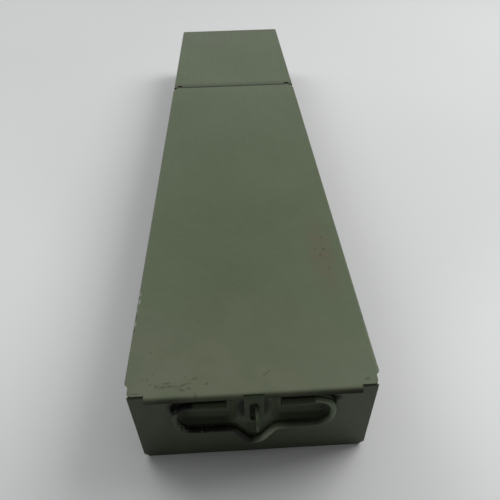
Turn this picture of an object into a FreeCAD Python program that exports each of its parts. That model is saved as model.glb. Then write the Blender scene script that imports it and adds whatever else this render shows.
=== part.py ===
import FreeCAD, Part
import math
import os

# A long, low sheet-steel deposit tin: hinged lid in front, fixed cover behind, wire bail handle and
# padlock hasp on the narrow front end. Millimetres, +X right, +Y to the rear, +Z up. The origin is the
# middle of the box that holds the whole tin, on the surface it stands on.

# Overall tin
BODY_LENGTH = 549.5
BODY_WIDTH = 119.0
TOTAL_HEIGHT = 57.0
SHEET = 0.6
HINGE_SETBACK = 363.7        # front face to hinge axis

# Tray
FLOOR_BEND = 4.0             # outside radius of the long bottom bends
HEM_HEIGHT = 8.0
HEM_RADIUS = 0.6             # mid-line radius of the outward hem
HEM_SETBACK = 17.5           # front face to the start of the hem
END_FLANGE = 9.0
END_BEND = 1.2               # mid-line radius where the tray's ends turn in
CORNER_RELIEF = 1.5

# Gaps
LID_GAP = 0.3                # under the lid's plate
SIDE_GAP = 0.25              # lid flange to hem
SWING_GAP = 0.3              # between pieces that pass each other
RUNNING_GAP = 0.06           # pin in a turning knuckle

# End panels
RETURN_FLANGE = 5.0
RETURN_BEND = 1.0            # mid-line radius of the turned-back top edge
PANEL_CLIP = 2.8             # cut across the two lower corners

# Pressed finger pockets in the front wall. Here and below, a drop is measured down from the lid's top
POCKET_INNER = 8.2           # middle of the wall to the pocket
POCKET_WIDTH = 32.2
POCKET_DROP = 2.7
POCKET_HEIGHT = 24.7
POCKET_DEPTH = 3.0
POCKET_SLOPE_INNER = 3.8
POCKET_SLOPE_OUTER = 2.6
POCKET_SLOPE_LOW = 2.6
POCKET_SLOPE_HIGH = 0.7
POCKET_ROUND_INNER = 6.0
POCKET_ROUND_OUTER = 10.5
POCKET_RIM = 0.5             # radius of the rolled rim
POCKET_FLOOR_ROUND = 2.2     # where the sides run into the pocket's floor

# Lid and rear cover
LID_FLANGE = 11.0
COVER_FLANGE = 11.0
TOP_BEND = 1.0               # mid-line radius of the top edges
LID_FLANGE_START = 5.2       # behind the front face, where the flange's slanted end begins
LID_FLANGE_STOP = 9.0        # ahead of the hinge axis
LID_CORNER_ROUND = 2.2
LID_CORNER_BACK = 0.4        # flat front corners behind the front face
LID_REAR_TAPER = 2.95        # lid's side to its narrower end at the hinge
LID_REAR_FLANGE = 3.4

# Front edge of the lid, turned down and rolled round a wire
EDGE_BEND = 1.96             # mid-line radius of the turn down
EDGE_WIRE = 1.2              # diameter
EDGE_TURN = 165.0            # round the wire
EDGE_INSET = 8.0             # lid's front corner to the end of its rolled edge

# Lid hinge
PIN = 2.4                    # diameter
BARREL_TURN = 300.0
EAR_WIDTH = 3.8
EAR_TURN = 200.0
NOTCH_WIDTH = 4.6
NOTCH_BACK = 2.7             # notch behind the hinge axis
CORNER_FLAT = 2.6            # flat of the cover's corners beside the notch
CORNER_FRONT = 1.6           # cover's corners ahead of the hinge axis

# Hasp leaf
LEAF_THICK = 0.6
LEAF_WIDTH = 9.4
LEAF_TOE = 1.5               # slot's lower end to the leaf's
SLOT_WIDTH = 4.6
SLOT_DROP = 6.4
SLOT_LENGTH = 15.2
KNUCKLE_TURN = 290.0
HOOD_GAP = 0.15              # knuckle to the lid's edge over it

# Padlock lug
LUG_THICK = 1.2
LUG_REACH = 11.8             # in front of the front face
LUG_FACE = 1.7               # right-hand face, from the middle
LUG_DROP = 8.8
LUG_BASE_WIDTH = 4.4
LUG_BASE_LENGTH = 26.2
LUG_BEND = 0.9               # mid-line radius
LUG_NOSE = 3.2
SLOT_END_GAP = 0.45          # lug's lower edge to the slot's end, as the leaf swings
EYE = 5.6                    # diameter of the padlock eye
EYE_SETBACK = 5.0            # lug's tip to the eye's centre
EYE_DROP = 4.8               # lug's top to the eye's centre
RIVET_SETBACK = 7.2          # lug's top to the first rivet
RIVET_PITCH = 6.8
RIVET_SHANK = 1.6            # diameter
RIVET_BORE = 0.9             # diameter
RIVET_HEAD = 2.6             # diameter
RIVET_DOME = 0.5             # height the dome would have without its bore

# Bail handle and its clips
WIRE = 3.2
BAIL_HALF = 38.8             # middle to the wire's mid-line
BAIL_DROP = 6.9              # to the axis it swings on
BAIL_BEND = 9.6
BAIL_SIDE = 3.0              # straight side between the two bends
BAIL_SHOULDER = 11.0         # middle to the start of the dip
BAIL_SHOULDER_BEND = 5.0
BAIL_DIP = 17.4              # to where the two slopes of the dip would meet
BAIL_APEX_BEND = 5.0
BAIL_END_INSET = 2.0         # wire's end inside its clip
CLIP_THICK = 0.8
CLIP_LENGTH = 15.9
CLIP_INSET = 0.24            # flat of the pocket's floor to the clip
CLIP_FOOT = 6.3              # below the bail's axis
CLIP_BEND = 1.2
CLIP_TAIL = 1.6

TOUCHING = 1e-4              # closer than this is the same place

# Places worked out from the sizes above
Y_FRONT = (LUG_REACH - BODY_LENGTH) / 2
Y_REAR = Y_FRONT + BODY_LENGTH
Y_REAR_WALL = Y_REAR - SHEET
HALF_SHEET = SHEET / 2
HALF_WIDTH = BODY_WIDTH / 2
WALL_TOP = TOTAL_HEIGHT - SHEET - LID_GAP
TOP_MID = TOTAL_HEIGHT - HALF_SHEET
TOP_EDGE = TOP_BEND + HALF_SHEET
HEM_FACE = HALF_WIDTH + 2 * HEM_RADIUS
LID_HALF = HEM_FACE + SIDE_GAP + SHEET
COVER_HALF = HEM_FACE + SHEET

POCKET_OUTER = POCKET_INNER + POCKET_WIDTH
POCKET_HIGH = TOTAL_HEIGHT - POCKET_DROP
POCKET_LOW = POCKET_HIGH - POCKET_HEIGHT

EDGE_CURL = EDGE_WIRE / 2 + HALF_SHEET
LEAF_CURL = EDGE_WIRE / 2 + RUNNING_GAP + LEAF_THICK / 2
KNUCKLE = LEAF_CURL + LEAF_THICK / 2
EDGE_Y = Y_FRONT - SWING_GAP - KNUCKLE
EDGE_Z = TOP_MID - EDGE_BEND
EDGE_START = EDGE_Y - EDGE_CURL + EDGE_BEND
EDGE_HALF = HALF_WIDTH - EDGE_INSET
KNUCKLE_HALF = LEAF_WIDTH / 2 + SWING_GAP
SLOT_HIGH = TOTAL_HEIGHT - SLOT_DROP
SLOT_LOW = SLOT_HIGH - SLOT_LENGTH
LEAF_LOW = SLOT_LOW - LEAF_TOE

BARREL_CURL = PIN / 2 + HALF_SHEET
EAR_CURL = PIN / 2 + RUNNING_GAP + HALF_SHEET
HINGE_Y = Y_FRONT + HINGE_SETBACK
HINGE_Z = TOP_MID - BARREL_CURL
LID_PLATE_REAR = HINGE_Y - BARREL_CURL - HALF_SHEET - SWING_GAP - TOP_EDGE
NOTCH_OUTER = COVER_HALF - TOP_EDGE - CORNER_FLAT
NOTCH_INNER = NOTCH_OUTER - NOTCH_WIDTH
BARREL_LENGTH = 2 * NOTCH_INNER
EAR_INNER = NOTCH_INNER + (NOTCH_WIDTH - EAR_WIDTH) / 2

LUG_FRONT = Y_FRONT - LUG_THICK
LUG_TOP = TOTAL_HEIGHT - LUG_DROP
LUG_BASE_LOW = LUG_TOP - LUG_BASE_LENGTH
RIVET_X = LUG_FACE - (LUG_BASE_WIDTH + LUG_THICK) / 2
RIVET_HEIGHTS = (LUG_TOP - RIVET_SETBACK, LUG_TOP - RIVET_SETBACK - RIVET_PITCH)

POCKET_STEEPNESS = math.atan2(POCKET_DEPTH, POCKET_SLOPE_INNER)
POCKET_FLAT = POCKET_INNER + POCKET_SLOPE_INNER + POCKET_FLOOR_ROUND * math.tan(POCKET_STEEPNESS / 2)
CLIP_INNER = POCKET_FLAT + CLIP_INSET
BAIL_Y = Y_FRONT - SWING_GAP - WIRE / 2
BAIL_AXIS_HEIGHT = TOTAL_HEIGHT - BAIL_DROP
BAIL_BAR_HEIGHT = BAIL_AXIS_HEIGHT - 2 * BAIL_BEND - BAIL_SIDE
CLIP_CURL = WIRE / 2 + RUNNING_GAP + CLIP_THICK / 2


def point(x, y, z):
    return FreeCAD.Vector(x, y, z)


def side_view(x):
    """Profile plane seen from the side: (y, z) at the given x."""
    return lambda y, z: point(x, y, z)


def end_view(y):
    """Profile plane seen from the end: (x, z) at the given y."""
    return lambda x, z: point(x, y, z)


def top_view(z):
    """Profile plane seen from above: (x, y) at the given z."""
    return lambda x, y: point(x, y, z)


def joined(pieces):
    return pieces[0].fuse(pieces[1:]).removeSplitter()


def mirrored(shape):
    return shape.mirror(point(0, 0, 0), point(1, 0, 0))


def both_sides(shape):
    return [shape, mirrored(shape)]


def block(x0, x1, y0, y1, z0, z1):
    return Part.makeBox(x1 - x0, y1 - y0, z1 - z0, point(x0, y0, z0))


def rod(x0, x1, y, z, diameter):
    """Round bar along X."""
    return Part.makeCylinder(diameter / 2, x1 - x0, point(x0, y, z), point(1, 0, 0))


def corner_arc(before, corner, after, radius):
    """Tangent arc that rounds the corner between two straight runs."""
    way_in = (corner - before).normalize()
    way_out = (after - corner).normalize()
    turn = way_in.getAngle(way_out)
    reach = radius * math.tan(turn / 2)
    inward = (way_out - way_in).normalize()
    middle = corner + inward * (radius / math.cos(turn / 2) - radius)
    return Part.Arc(corner - way_in * reach, middle, corner + way_out * reach).toShape()


def straight(start, end):
    """A straight edge, or nothing where two arcs already meet."""
    if (end - start).Length < TOUCHING:
        return []
    return [Part.makeLine(start, end)]


def rounded_run(places, radii):
    """Route of straight runs, with an arc at each inner corner whose radius isn't 0."""
    edges = []
    here = places[0]
    for before, corner, after, radius in zip(places, places[1:], places[2:], radii):
        if radius == 0:
            edges += straight(here, corner)
            here = corner
        else:
            arc = corner_arc(before, corner, after, radius)
            edges += straight(here, arc.valueAt(arc.FirstParameter))
            edges.append(arc)
            here = arc.valueAt(arc.LastParameter)
    return Part.Wire(edges + straight(here, places[-1]))


def outline(plane, corners):
    """Closed outline through (u, v, radius) corners, started half-way along its last side."""
    places = [plane(u, v) for u, v, radius in corners]
    start = (places[-1] + places[0]) * 0.5
    return rounded_run([start] + places + [start], [radius for u, v, radius in corners])


def plate(plane, corners, push):
    return Part.Face(outline(plane, corners)).extrude(push)


def sheet_face(plane, start, heading, moves, offset):
    """Edges of one face of a bent sheet, a set distance to the left of its mid-line, and their ends."""
    edges = []
    ends = []
    u, v = start
    angle = math.radians(heading)
    for move in moves:
        normal = angle + math.pi / 2
        first = plane(u + offset * math.cos(normal), v + offset * math.sin(normal))
        if len(move) == 1:
            u += move[0] * math.cos(angle)
            v += move[0] * math.sin(angle)
            last = plane(u + offset * math.cos(normal), v + offset * math.sin(normal))
            edges.append(Part.makeLine(first, last))
        else:
            radius, turn = move[0], math.radians(move[1])
            side = math.copysign(1, turn)
            centre_u = u + side * radius * math.cos(normal)
            centre_v = v + side * radius * math.sin(normal)
            spoke = angle - side * math.pi / 2
            face_radius = radius - side * offset
            half = plane(
                centre_u + face_radius * math.cos(spoke + turn / 2),
                centre_v + face_radius * math.sin(spoke + turn / 2))
            last = plane(
                centre_u + face_radius * math.cos(spoke + turn),
                centre_v + face_radius * math.sin(spoke + turn))
            edges.append(Part.Arc(first, half, last).toShape())
            u = centre_u + radius * math.cos(spoke + turn)
            v = centre_v + radius * math.sin(spoke + turn)
            angle += turn
        ends += [first, last]
    return edges, ends[0], ends[-1]


def bent_sheet(plane, start, heading, moves, thickness, push):
    """Strip walked along its mid-line: a move is (run,) or (bend radius, turn), left turns positive."""
    left, left_first, left_last = sheet_face(plane, start, heading, moves, thickness / 2)
    right, right_first, right_last = sheet_face(plane, start, heading, moves, -thickness / 2)
    caps = [Part.makeLine(left_last, right_last), Part.makeLine(right_first, left_first)]
    rim = Part.Wire(Part.__sortEdges__(left + right + caps))
    return Part.Face(rim).extrude(push)


def body_tray():
    """Floor and long sides from one sheet, hemmed outwards, with flanges turned in at both ends."""
    wall_x = HALF_WIDTH - HALF_SHEET
    bend = FLOOR_BEND - HALF_SHEET
    floor_run = 2 * (wall_x - bend)
    hem_run = HEM_HEIGHT - HEM_RADIUS - HALF_SHEET
    hem_turn = WALL_TOP - HALF_SHEET - HEM_RADIUS
    hemmed_run = hem_turn - HALF_SHEET - bend
    plain_run = WALL_TOP - HALF_SHEET - bend
    wall_start = Y_FRONT + SHEET + HALF_SHEET + END_BEND
    wall_stop = Y_REAR_WALL - SHEET - HALF_SHEET - END_BEND
    hem_start = Y_FRONT + HEM_SETBACK
    hemmed = bent_sheet(
        end_view(hem_start), (-wall_x - 2 * HEM_RADIUS, hem_turn - hem_run), 90,
        [(hem_run,), (HEM_RADIUS, -180), (hemmed_run,), (bend, 90), (floor_run,),
         (bend, 90), (hemmed_run,), (HEM_RADIUS, -180), (hem_run,)],
        SHEET, point(0, wall_stop - hem_start, 0))
    plain = bent_sheet(
        end_view(wall_start), (-wall_x, WALL_TOP), -90,
        [(plain_run,), (bend, 90), (floor_run,), (bend, 90), (plain_run,)],
        SHEET, point(0, hem_start - wall_start, 0))
    pieces = [hemmed, plain]
    flange_low = FLOOR_BEND + CORNER_RELIEF
    flange_rise = point(0, 0, WALL_TOP - HEM_HEIGHT - flange_low)
    foot_half = HALF_WIDTH - FLOOR_BEND - CORNER_RELIEF
    for y, way, turn in ((wall_start, 180, -90), (wall_stop, 0, 90)):
        flange = bent_sheet(
            top_view(flange_low), (wall_x, y), turn,
            [(END_BEND, turn), (END_FLANGE,)], SHEET, flange_rise)
        foot = bent_sheet(
            side_view(-foot_half), (y, HALF_SHEET), way,
            [(END_BEND, turn), (END_FLANGE,)], SHEET, point(2 * foot_half, 0, 0))
        pieces += both_sides(flange) + [foot]
    return joined(pieces)


def end_panel(outer_y, inward):
    """End wall with clipped lower corners, its top edge turned back into the tin between two ears."""
    flat_top = WALL_TOP - HALF_SHEET - RETURN_BEND
    half = HALF_WIDTH - SHEET - SWING_GAP
    foot_half = HALF_WIDTH - PANEL_CLIP
    flat = plate(
        end_view(outer_y),
        [(HALF_WIDTH, WALL_TOP, 0), (half, WALL_TOP, 0), (half, flat_top, 0),
         (-half, flat_top, 0), (-half, WALL_TOP, 0), (-HALF_WIDTH, WALL_TOP, 0),
         (-HALF_WIDTH, PANEL_CLIP, 0), (-foot_half, 0, 0),
         (foot_half, 0, 0), (HALF_WIDTH, PANEL_CLIP, 0)],
        point(0, inward * SHEET, 0))
    top = bent_sheet(
        side_view(-half), (outer_y + inward * HALF_SHEET, flat_top), 90,
        [(RETURN_BEND, -90 * inward), (RETURN_FLANGE,)], SHEET, point(2 * half, 0, 0))
    return joined([flat, top])


def pocket_form(spread, depth):
    """Dished tub of one finger pocket: spread widens it all round, depth is how far it goes in."""
    rim = outline(
        end_view(Y_FRONT),
        [(POCKET_OUTER + spread, POCKET_HIGH + spread, POCKET_ROUND_OUTER + spread),
         (POCKET_INNER - spread, POCKET_HIGH + spread, POCKET_ROUND_INNER + spread),
         (POCKET_INNER - spread, POCKET_LOW - spread, POCKET_ROUND_INNER + spread),
         (POCKET_OUTER + spread, POCKET_LOW - spread, POCKET_ROUND_OUTER + spread)])
    inner = POCKET_INNER + POCKET_SLOPE_INNER - spread
    outer = POCKET_OUTER - POCKET_SLOPE_OUTER + spread
    low = POCKET_LOW + POCKET_SLOPE_LOW - spread
    high = POCKET_HIGH - POCKET_SLOPE_HIGH + spread
    inner_round = POCKET_ROUND_INNER - POCKET_SLOPE_LOW + spread
    outer_round = POCKET_ROUND_OUTER - POCKET_SLOPE_LOW + spread
    floor = outline(
        end_view(Y_FRONT + depth),
        [(outer, high, outer_round), (inner, high, inner_round),
         (inner, low, inner_round), (outer, low, outer_round)])
    tub = Part.makeLoft([rim, floor], True, True)
    floor_edges = [edge for edge in tub.Edges if edge.BoundBox.YMin > Y_FRONT + depth - TOUCHING]
    return tub.makeFillet(POCKET_FLOOR_ROUND + spread, floor_edges)


def front_wall():
    """Pressed front panel: a finger pocket behind each half of the bail, holes for the lug's rivets."""
    wall = joined([end_panel(Y_FRONT, 1)] + both_sides(pocket_form(SHEET, POCKET_DEPTH + SHEET)))
    for hollow in both_sides(pocket_form(0, POCKET_DEPTH)):
        wall = wall.cut(hollow)
    wall = rivet_holes(wall)
    rim_edges = [edge for edge in wall.Edges if on_pocket_rim(edge)]
    return wall.makeFillet(POCKET_RIM, rim_edges)


def on_pocket_rim(edge):
    """True for the edges where the front face drops into a pocket."""
    box = edge.BoundBox
    flat = abs(box.YMin - Y_FRONT) < TOUCHING and abs(box.YMax - Y_FRONT) < TOUCHING
    across = POCKET_INNER - TOUCHING < min(abs(box.XMin), abs(box.XMax))
    inside = max(abs(box.XMin), abs(box.XMax)) < POCKET_OUTER + TOUCHING
    level = POCKET_LOW - TOUCHING < box.ZMin and box.ZMax < POCKET_HIGH + TOUCHING
    return flat and across and inside and level


def rear_wall():
    return end_panel(Y_REAR_WALL, -1)


def channel(half, flange, y0, y1):
    """Flat top with a flange turned down along each side."""
    drop = flange - TOP_EDGE
    mid = half - HALF_SHEET
    return bent_sheet(
        end_view(y0), (-mid, TOTAL_HEIGHT - flange), 90,
        [(drop,), (TOP_BEND, -90), (2 * (mid - TOP_BEND),), (TOP_BEND, -90), (drop,)],
        SHEET, point(0, y1 - y0, 0))


def rear_cover():
    """Fixed cover: flanged on three sides, its front edge curled into the hinge barrel."""
    notch_back = HINGE_Y + NOTCH_BACK
    rear_start = Y_REAR - TOP_EDGE
    drop = COVER_FLANGE - TOP_EDGE
    top = channel(COVER_HALF, COVER_FLANGE, notch_back, rear_start)
    corner = bent_sheet(
        end_view(HINGE_Y - CORNER_FRONT), (NOTCH_OUTER, TOP_MID), 0,
        [(COVER_HALF - TOP_EDGE - NOTCH_OUTER,), (TOP_BEND, -90), (drop,)],
        SHEET, point(0, NOTCH_BACK + CORNER_FRONT, 0))
    barrel = bent_sheet(
        side_view(-NOTCH_INNER), (notch_back, TOP_MID), 180,
        [(NOTCH_BACK,), (BARREL_CURL, BARREL_TURN)], SHEET, point(BARREL_LENGTH, 0, 0))
    rear_half = COVER_HALF - TOP_EDGE - CORNER_RELIEF
    rear = bent_sheet(
        side_view(-rear_half), (rear_start, TOP_MID), 0,
        [(TOP_BEND, -90), (drop,)], SHEET, point(2 * rear_half, 0, 0))
    return joined([top, barrel, rear] + both_sides(corner))


def hinge_pin():
    half = NOTCH_OUTER - SWING_GAP
    return rod(-half, half, HINGE_Y, HINGE_Z, PIN)


def hood_turn():
    """How far the lid's edge turns down over the hasp's knuckle and leaves its gap, in degrees."""
    inside = EDGE_BEND - HALF_SHEET
    offset = EDGE_BEND - EDGE_CURL
    clear = KNUCKLE + HOOD_GAP
    return math.degrees(math.asin((offset ** 2 + inside ** 2 - clear ** 2) / (2 * offset * inside)))


def lid():
    """Flanged lid: rolled front edge, cut back over the hasp, rear flange with two hooked hinge ears."""
    flange_start = Y_FRONT + LID_FLANGE_START
    flange_stop = HINGE_Y - LID_FLANGE_STOP
    side = LID_HALF - TOP_EDGE
    front_edge = Y_FRONT + LID_CORNER_BACK
    rear_half = LID_HALF - LID_REAR_TAPER
    low = TOTAL_HEIGHT - SHEET
    thickness = point(0, 0, SHEET)
    underside = top_view(low)
    top = channel(LID_HALF, LID_FLANGE, flange_start, flange_stop)
    past = LID_HALF - HALF_WIDTH + SHEET
    mitre = plate(
        top_view(TOTAL_HEIGHT),
        [(HALF_WIDTH, flange_start - LID_FLANGE, 0), (HALF_WIDTH + past, flange_start - LID_FLANGE, 0),
         (HALF_WIDTH + past, flange_start + past, 0), (HALF_WIDTH, flange_start, 0)],
        point(0, LID_FLANGE, -LID_FLANGE))
    nose = plate(
        underside,
        [(HALF_WIDTH, flange_start, 0), (-HALF_WIDTH, flange_start, 0),
         (-HALF_WIDTH, front_edge, LID_CORNER_ROUND), (HALF_WIDTH, front_edge, LID_CORNER_ROUND)],
        thickness)
    apron = block(-EDGE_HALF, EDGE_HALF, EDGE_START, flange_start, low, TOTAL_HEIGHT)
    tail = plate(
        underside,
        [(-side, flange_stop, 0), (side, flange_stop, 0),
         (rear_half, LID_PLATE_REAR, 0), (-rear_half, LID_PLATE_REAR, 0)],
        thickness)
    roll = bent_sheet(
        side_view(KNUCKLE_HALF), (EDGE_START, TOP_MID), 180,
        [(EDGE_BEND, 90), (EDGE_CURL, EDGE_TURN)], SHEET, point(EDGE_HALF - KNUCKLE_HALF, 0, 0))
    hood = bent_sheet(
        side_view(-KNUCKLE_HALF), (EDGE_START, TOP_MID), 180,
        [(EDGE_BEND, hood_turn())], SHEET, point(2 * KNUCKLE_HALF, 0, 0))
    ear_lead = HINGE_Y - EAR_CURL - TOP_BEND - LID_PLATE_REAR
    ear = bent_sheet(
        side_view(EAR_INNER), (LID_PLATE_REAR, TOP_MID), 0,
        [(ear_lead,), (TOP_BEND, -90), (TOP_MID - TOP_BEND - HINGE_Z,), (EAR_CURL, EAR_TURN)],
        SHEET, point(EAR_WIDTH, 0, 0))
    rear = bent_sheet(
        side_view(-NOTCH_INNER), (LID_PLATE_REAR, TOP_MID), 0,
        [(TOP_BEND, -90), (LID_REAR_FLANGE,)], SHEET, point(BARREL_LENGTH, 0, 0))
    for corner in both_sides(mitre):
        top = top.cut(corner)
    return joined([top, nose, apron, hood, tail, rear] + both_sides(roll) + both_sides(ear))


def lid_edge_wire():
    return rod(-EDGE_HALF, EDGE_HALF, EDGE_Y, EDGE_Z, EDGE_WIRE)


def hasp_leaf():
    """Slotted leaf with a round end, its top rolled round the lid's edge wire."""
    half = LEAF_WIDTH / 2
    slot_half = SLOT_WIDTH / 2
    front = EDGE_Y - KNUCKLE
    thickness = point(0, LEAF_THICK, 0)
    flat = plate(
        end_view(front),
        [(half, EDGE_Z, 0), (-half, EDGE_Z, 0), (-half, LEAF_LOW, half), (half, LEAF_LOW, half)],
        thickness)
    slot = plate(
        end_view(front),
        [(slot_half, SLOT_HIGH, slot_half), (-slot_half, SLOT_HIGH, slot_half),
         (-slot_half, SLOT_LOW, slot_half), (slot_half, SLOT_LOW, slot_half)],
        thickness)
    knuckle = bent_sheet(
        side_view(-half), (EDGE_Y - LEAF_CURL, EDGE_Z), 90,
        [(LEAF_CURL, -KNUCKLE_TURN)], LEAF_THICK, point(LEAF_WIDTH, 0, 0))
    return joined([flat.cut(slot), knuckle])


def rivet_holes(shape):
    for height in RIVET_HEIGHTS:
        place = point(RIVET_X, LUG_FRONT, height)
        drill = Part.makeCylinder(RIVET_SHANK / 2, LUG_THICK + SHEET, place, point(0, 1, 0))
        shape = shape.cut(drill)
    return shape


def swing_height(y):
    """Height of the slot's lower end, less its gap, where the swinging leaf passes the given y."""
    reach = EDGE_Z - SLOT_LOW - SLOT_END_GAP
    return EDGE_Z - math.sqrt(reach ** 2 - (EDGE_Y - y) ** 2)


def padlock_lug():
    """Angle lug: a riveted base on the wall, and an upright tongue with the padlock eye."""
    tip = Y_FRONT - LUG_REACH
    base_left = LUG_FACE - LUG_BASE_WIDTH
    base_run = LUG_BASE_WIDTH - LUG_BEND - LUG_THICK / 2
    tongue_run = LUG_REACH - LUG_BEND - LUG_THICK / 2
    angle = bent_sheet(
        top_view(LUG_BASE_LOW), (base_left, Y_FRONT - LUG_THICK / 2), 0,
        [(base_run,), (LUG_BEND, -90), (tongue_run,)],
        LUG_THICK, point(0, 0, LUG_TOP - LUG_BASE_LOW))
    tongue = plate(
        side_view(base_left),
        [(Y_FRONT, swing_height(Y_FRONT), 0), (Y_FRONT, LUG_TOP, 0),
         (tip, LUG_TOP, LUG_NOSE), (tip, swing_height(tip), LUG_NOSE)],
        point(LUG_BASE_WIDTH, 0, 0))
    base = block(base_left, LUG_FACE, LUG_FRONT, Y_FRONT, LUG_BASE_LOW, LUG_TOP)
    eye = rod(base_left, LUG_FACE, tip + EYE_SETBACK, LUG_TOP - EYE_DROP, EYE)
    return rivet_holes(angle.common(joined([tongue, base])).cut(eye))


def dome_rise(radius):
    """Height of a rivet's dome, a cap of a sphere, at the given radius from its middle."""
    head = RIVET_HEAD / 2
    sphere = (head ** 2 + RIVET_DOME ** 2) / (2 * RIVET_DOME)
    return math.sqrt(sphere ** 2 - radius ** 2) - sphere + RIVET_DOME


def lug_rivets():
    """Two tubular rivets through the lug's base and the wall, domed in front and rolled inside."""
    rivets = []
    shank = RIVET_SHANK / 2
    bore = RIVET_BORE / 2
    head = RIVET_HEAD / 2
    crest = (head + bore) / 2
    back = Y_FRONT + SHEET
    for height in RIVET_HEIGHTS:
        section = top_view(height)
        front_dome, back_dome = [
            [section(RIVET_X + radius, seat + way * dome_rise(radius)) for radius in (head, crest, bore)]
            for seat, way in ((LUG_FRONT, -1), (back, 1))]
        shank_front = section(RIVET_X + shank, LUG_FRONT)
        shank_back = section(RIVET_X + shank, back)
        edges = [
            Part.Arc(*front_dome).toShape(), Part.makeLine(front_dome[0], shank_front),
            Part.makeLine(shank_front, shank_back), Part.makeLine(shank_back, back_dome[0]),
            Part.Arc(*back_dome).toShape(), Part.makeLine(back_dome[-1], front_dome[-1])]
        half_section = Part.Face(Part.Wire(Part.__sortEdges__(edges)))
        rivets.append(half_section.revolve(section(RIVET_X, Y_FRONT), point(0, 1, 0), 360))
    return Part.makeCompound(rivets)


def bail_handle():
    """Wire bail: ends held in the clips, a U-bend each side, a V dip in the middle."""
    half_route = [
        (-CLIP_INNER - BAIL_END_INSET, BAIL_AXIS_HEIGHT, 0),
        (-BAIL_HALF, BAIL_AXIS_HEIGHT, BAIL_BEND),
        (-BAIL_HALF, BAIL_BAR_HEIGHT, BAIL_BEND),
        (-BAIL_SHOULDER, BAIL_BAR_HEIGHT, BAIL_SHOULDER_BEND),
    ]
    other_half = [(-x, z, radius) for x, z, radius in reversed(half_route)]
    route = half_route + [(0, BAIL_BAR_HEIGHT - BAIL_DIP, BAIL_APEX_BEND)] + other_half
    places = [point(x, BAIL_Y, z) for x, z, radius in route]
    mid_line = rounded_run(places, [radius for x, z, radius in route[1:-1]])
    ring = Part.Wire(Part.makeCircle(WIRE / 2, places[0], point(1, 0, 0)))
    return mid_line.makePipeShell([ring], True, False)


def handle_clip():
    """Strap spot-welded to the right-hand pocket's floor and rolled round the bail's end."""
    foot_y = Y_FRONT + POCKET_DEPTH - CLIP_THICK / 2
    foot_run = CLIP_FOOT + CLIP_CURL - CLIP_BEND
    return bent_sheet(
        side_view(CLIP_INNER), (foot_y, BAIL_AXIS_HEIGHT - CLIP_FOOT), 90,
        [(foot_run,), (CLIP_BEND, 90), (foot_y - CLIP_BEND - BAIL_Y,), (CLIP_CURL, 180), (CLIP_TAIL,)],
        CLIP_THICK, point(CLIP_LENGTH, 0, 0))


NODES = {
    "body_tray": body_tray(),
    "front_wall": front_wall(),
    "rear_wall": rear_wall(),
    "rear_cover": rear_cover(),
    "hinge_pin": hinge_pin(),
    "handle_clip_left": mirrored(handle_clip()),
    "handle_clip_right": handle_clip(),
    "padlock_lug": padlock_lug(),
    "lug_rivets": lug_rivets(),
    "lid": lid(),
    "lid_edge_wire": lid_edge_wire(),
    "hasp_leaf": hasp_leaf(),
    "bail_handle": bail_handle(),
}

os.makedirs("parts", exist_ok=True)
for name, shape in NODES.items():
    shape.exportStep("parts/" + name + ".step")
    box = shape.BoundBox
    print(
        name, "solids", len(shape.Solids), "valid", shape.isValid(), "volume", round(shape.Volume, 1),
        "x", round(box.XMin, 2), round(box.XMax, 2), "y", round(box.YMin, 2), round(box.YMax, 2),
        "z", round(box.ZMin, 2), round(box.ZMax, 2))
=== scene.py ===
# %% [markdown]
# A sheet-steel deposit tin, dressed around its CAD frame
#
# The tin is one long tray with a hinged lid, a fixed cover behind the hinge, a wire bail and a padlock
# hasp. The frame already has every piece at its real size and place, so this lesson is about looks: the
# camera and light of the photograph, old stoved enamel, a bent-wire handle and rows of spot welds.
# Everything here is in metres, in the frame's own axes: +X right, +Y to the rear, +Z up.

# %% Load the frame
import math

import bpy
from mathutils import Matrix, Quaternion, Vector


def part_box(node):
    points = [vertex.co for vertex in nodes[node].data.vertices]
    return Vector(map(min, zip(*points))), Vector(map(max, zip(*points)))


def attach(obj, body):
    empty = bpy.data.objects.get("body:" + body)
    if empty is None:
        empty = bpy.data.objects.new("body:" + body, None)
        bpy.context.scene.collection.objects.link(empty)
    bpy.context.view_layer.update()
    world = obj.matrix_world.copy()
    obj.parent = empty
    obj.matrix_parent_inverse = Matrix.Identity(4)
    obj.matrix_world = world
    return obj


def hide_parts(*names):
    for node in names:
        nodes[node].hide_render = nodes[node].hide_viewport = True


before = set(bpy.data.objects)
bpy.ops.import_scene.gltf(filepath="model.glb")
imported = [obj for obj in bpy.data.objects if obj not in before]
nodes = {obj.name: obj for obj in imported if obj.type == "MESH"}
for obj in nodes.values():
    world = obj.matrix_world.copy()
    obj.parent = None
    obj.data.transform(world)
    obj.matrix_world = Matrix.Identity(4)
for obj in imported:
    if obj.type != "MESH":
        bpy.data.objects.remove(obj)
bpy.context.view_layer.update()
scene = bpy.context.scene
print("nodes:", ", ".join(sorted(nodes)))

# %% [markdown]
# A few helpers carry the whole script. Sizes are thought of in millimetres, colours are written as sRGB
# hex values and turned to linear light in one place, and one small function adds a node to a tree, sets
# it up and links it, so that a material reads as a list of what it is made of. Sockets that share a name
# are given by number: on a Mix, 2 and 3 are its two numbers, and 6 and 7 its two colours; on a Map Range,
# 1 and 2 are the ends of what comes in, and 3 and 4 the ends of what goes out.

# %% Units, colours and nodes
MM = 0.001


def per_metre(size_mm):
    """Texture scale of a pattern whose features are this large."""
    return 1 / (size_mm * MM)


def colour(hex_value):
    """Linear RGBA of an sRGB hex value."""
    channels = [int(hex_value[i:i + 2], 16) / 255 for i in (1, 3, 5)]
    linear = [c / 12.92 if c <= 0.04045 else ((c + 0.055) / 1.055) ** 2.4 for c in channels]
    return (*linear, 1.0)


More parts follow.
